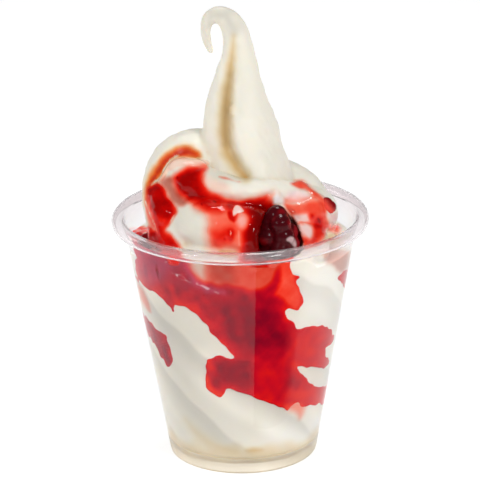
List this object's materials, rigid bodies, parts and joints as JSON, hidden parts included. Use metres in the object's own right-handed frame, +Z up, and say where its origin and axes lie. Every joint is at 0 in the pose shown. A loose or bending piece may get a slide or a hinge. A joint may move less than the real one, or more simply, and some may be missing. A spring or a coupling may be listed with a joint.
{
  "type": "berry sundae",
  "caption": "Soft-serve sundae with red berry sauce and dark berries in a clear plastic cup, its swirl pulled up to a hooked peak.",
  "frame": {"origin": "centre of the cup's foot, on the surface that it stands on", "axes": "+Z up along the cup's axis, -Y towards the front, where the large berry lies, +X to the right"},
  "size_m": [0.092, 0.092, 0.166],
  "materials": {
    "clear_plastic": "clear and glossy",
    "soft_serve": "smooth, soft sheen",
    "berry_sauce": "wet gloss",
    "berry_skin": "wet gloss"
  },
  "bodies": {
    "root": {"cup": "clear_plastic", "ice_cream": "soft_serve", "sauce_swirl_front": "berry_sauce", "sauce_swirl_back": "berry_sauce", "sauce_pour_left": "berry_sauce", "sauce_pour_top": "berry_sauce", "dark_berry": "berry_skin", "left_berry": "berry_skin", "right_berry": "berry_skin"}
  },
  "joints": []
}
